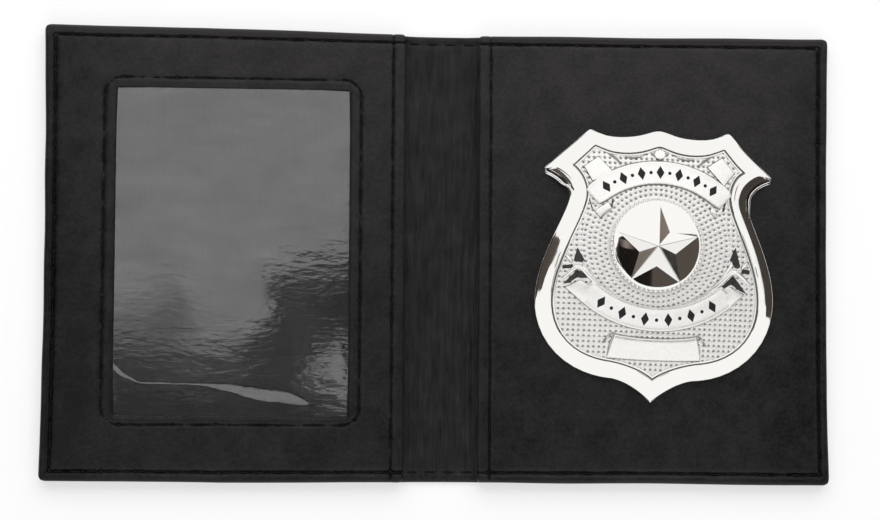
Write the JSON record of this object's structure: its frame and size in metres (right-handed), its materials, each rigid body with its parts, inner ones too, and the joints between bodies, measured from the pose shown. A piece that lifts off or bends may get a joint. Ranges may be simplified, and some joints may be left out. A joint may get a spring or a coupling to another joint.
{
  "type": "badge and identity card wallet",
  "caption": "Black leather book-fold wallet lying open, with a clear card window in one half and a domed metal shield badge on the other.",
  "frame": {"origin": "centre of the back face of the open wallet, at ground level", "axes": "+X across the open wallet towards the badge half, +Y up the height of the badge, +Z out of the inside face"},
  "size_m": [0.2, 0.115, 0.0132],
  "materials": {
    "cover_leather": "fine grain, low sheen",
    "panel_leather": "fine grain, low sheen",
    "lining_leather": "creased, low sheen",
    "stiffener_board": "matt",
    "clear_film": "clear and glossy",
    "badge_chrome": "bright plated",
    "medallion_chrome": "mirror polished",
    "black_enamel": "glossy",
    "stud_metal": "plain",
    "black_thread": "waxed"
  },
  "bodies": {
    "left_half": {"cover_left": "cover_leather", "board_left": "stiffener_board", "lining_left": "lining_leather", "window_hem": "panel_leather", "window_film": "clear_film", "window_panel": "panel_leather", "rim_stitches_left": "black_thread", "window_stitches": "black_thread", "window_hem_stitches": "black_thread", "back_stitches_left": "black_thread"},
    "spine": {"cover_spine": "cover_leather", "lining_spine": "lining_leather", "rim_stitches_spine": "black_thread", "back_stitches_spine": "black_thread"},
    "right_half": {"cover_right": "cover_leather", "board_right": "stiffener_board", "lining_right": "lining_leather", "badge_hem": "panel_leather", "badge_panel": "panel_leather", "shield": "badge_chrome", "star_medallion": "medallion_chrome", "ribbon_enamel": "black_enamel", "badge_studs": "stud_metal", "push_nuts": "stud_metal", "rim_stitches_right": "black_thread", "badge_hem_stitches": "black_thread", "back_stitches_right": "black_thread"}
  },
  "joints": [
    {"name": "crease_left", "type": "hinge", "parent": "left_half", "child": "spine", "pos_m": [-0.00915, 0, 0.0012], "axis": [0, -1, 0], "range_deg": [0, 90]},
    {"name": "crease_right", "type": "hinge", "parent": "spine", "child": "right_half", "pos_m": [0.00915, 0, 0.0012], "axis": [0, -1, 0], "range_deg": [0, 90]}
  ],
  "couplings": [
    {"joint": "crease_right", "follows": "crease_left", "ratio": 1}
  ]
}
